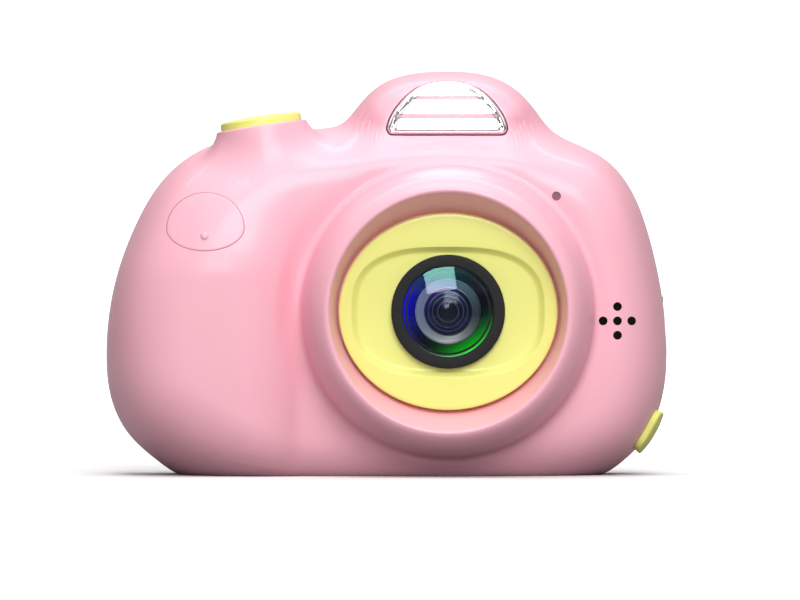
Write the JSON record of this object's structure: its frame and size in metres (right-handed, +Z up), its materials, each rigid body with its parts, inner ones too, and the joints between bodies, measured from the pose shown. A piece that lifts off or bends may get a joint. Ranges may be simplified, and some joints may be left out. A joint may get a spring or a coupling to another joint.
{
  "type": "kids digital camera",
  "caption": "Compact soft-edged child's digital camera with a grip, recessed lens, tilted shutter button, rear display, direction pad, covered USB port and memory card slot",
  "frame": {"origin": "middle of the flat base that the camera stands on", "axes": "+Z up, the lens looks along -Y, +X is on the right of someone facing the lens"},
  "size_m": [0.098, 0.0402, 0.0704],
  "materials": {
    "pink_shell": "satin",
    "yellow_plastic": "satin",
    "black_plastic": "satin",
    "ring_plastic": "satin",
    "lens_glass": "polished",
    "window_glass": "polished",
    "mirror_trim": "polished",
    "yellow_rubber": "matte",
    "screw_steel": "satin",
    "socket_steel": "satin",
    "board": "satin",
    "flex": "satin",
    "cell_foil": "satin",
    "wire": "satin",
    "foam": "matte",
    "light_guide": "polished",
    "paper_cone": "matte",
    "sensor_silicon": "polished"
  },
  "bodies": {
    "camera": {"front_casing": "pink_shell", "rear_casing": "pink_shell", "grip_inlay": "pink_shell", "strap_plate": "pink_shell", "lens_bezel": "yellow_plastic", "display_bezel": "yellow_plastic", "lens_ring": "ring_plastic", "lens_barrel": "black_plastic", "lens_holder": "black_plastic", "aperture_disc": "black_plastic", "microphone_boot": "black_plastic", "speaker_frame": "black_plastic", "backlight_frame": "black_plastic", "processor_chip": "black_plastic", "memory_chips": "black_plastic", "board_components": "black_plastic", "board_connectors": "black_plastic", "key_switches": "black_plastic", "shutter_switch": "black_plastic", "lens_window": "lens_glass", "front_element": "lens_glass", "middle_element": "lens_glass", "rear_element": "lens_glass", "display_window": "window_glass", "display_panel": "window_glass", "flash_trim": "mirror_trim", "casing_screws": "screw_steel", "board_screws": "screw_steel", "key_board_screws": "screw_steel", "usb_socket": "socket_steel", "card_socket": "socket_steel", "microphone": "socket_steel", "speaker_magnet": "socket_steel", "main_board": "board", "camera_board": "board", "key_board": "board", "shutter_board": "board", "usb_board": "board", "camera_flex": "flex", "display_flex": "flex", "key_flex": "flex", "battery": "cell_foil", "battery_leads": "wire", "speaker_leads": "wire", "speaker_gasket": "foam", "status_light": "light_guide", "status_led": "light_guide", "speaker_cone": "paper_cone", "image_sensor": "sensor_silicon"},
    "moving_shutter_button": {"shutter_button": "yellow_plastic"},
    "moving_port_cover": {"port_cover": "yellow_rubber"},
    "moving_memory_card": {"memory_card": "black_plastic"},
    "moving_power_button": {"power_button": "yellow_plastic"},
    "moving_menu_button": {"menu_button": "yellow_plastic"},
    "moving_playback_button": {"playback_button": "yellow_plastic"},
    "moving_ok_button": {"ok_button": "yellow_plastic"},
    "moving_right_key": {"right_key": "yellow_plastic"},
    "moving_up_key": {"up_key": "yellow_plastic"},
    "moving_left_key": {"left_key": "yellow_plastic"},
    "moving_down_key": {"down_key": "yellow_plastic"}
  },
  "joints": [
    {"name": "shutter_press", "type": "slide", "parent": "camera", "child": "moving_shutter_button", "axis": [0.1478, 0, -0.989], "range_m": [0, 0.0009], "stiffness_N_per_m": 900, "springref_m": -0.0004},
    {"name": "power_button_press", "type": "slide", "parent": "camera", "child": "moving_power_button", "axis": [0, -1, 0], "range_m": [0, 0.0005], "stiffness_N_per_m": 900, "springref_m": -0.0004},
    {"name": "menu_button_press", "type": "slide", "parent": "camera", "child": "moving_menu_button", "axis": [0, -1, 0], "range_m": [0, 0.0005], "stiffness_N_per_m": 900, "springref_m": -0.0004},
    {"name": "playback_button_press", "type": "slide", "parent": "camera", "child": "moving_playback_button", "axis": [0, -1, 0], "range_m": [0, 0.0005], "stiffness_N_per_m": 900, "springref_m": -0.0004},
    {"name": "ok_button_press", "type": "slide", "parent": "camera", "child": "moving_ok_button", "axis": [0, -1, 0], "range_m": [0, 0.0005], "stiffness_N_per_m": 900, "springref_m": -0.0004},
    {"name": "right_key_press", "type": "slide", "parent": "camera", "child": "moving_right_key", "axis": [0, -1, 0], "range_m": [0, 0.0005], "stiffness_N_per_m": 900, "springref_m": -0.0004},
    {"name": "up_key_press", "type": "slide", "parent": "camera", "child": "moving_up_key", "axis": [0, -1, 0], "range_m": [0, 0.0005], "stiffness_N_per_m": 900, "springref_m": -0.0004},
    {"name": "left_key_press", "type": "slide", "parent": "camera", "child": "moving_left_key", "axis": [0, -1, 0], "range_m": [0, 0.0005], "stiffness_N_per_m": 900, "springref_m": -0.0004},
    {"name": "down_key_press", "type": "slide", "parent": "camera", "child": "moving_down_key", "axis": [0, -1, 0], "range_m": [0, 0.0005], "stiffness_N_per_m": 900, "springref_m": -0.0004},
    {"name": "port_cover_hinge", "type": "hinge", "parent": "camera", "child": "moving_port_cover", "pos_m": [0.04702, 0.0066, 0.00676], "axis": [0.5299, 0, 0.848], "range_deg": [0, 100]},
    {"name": "card_slide", "type": "slide", "parent": "camera", "child": "moving_memory_card", "axis": [1, 0, 0], "range_m": [0, 0.016]}
  ]
}
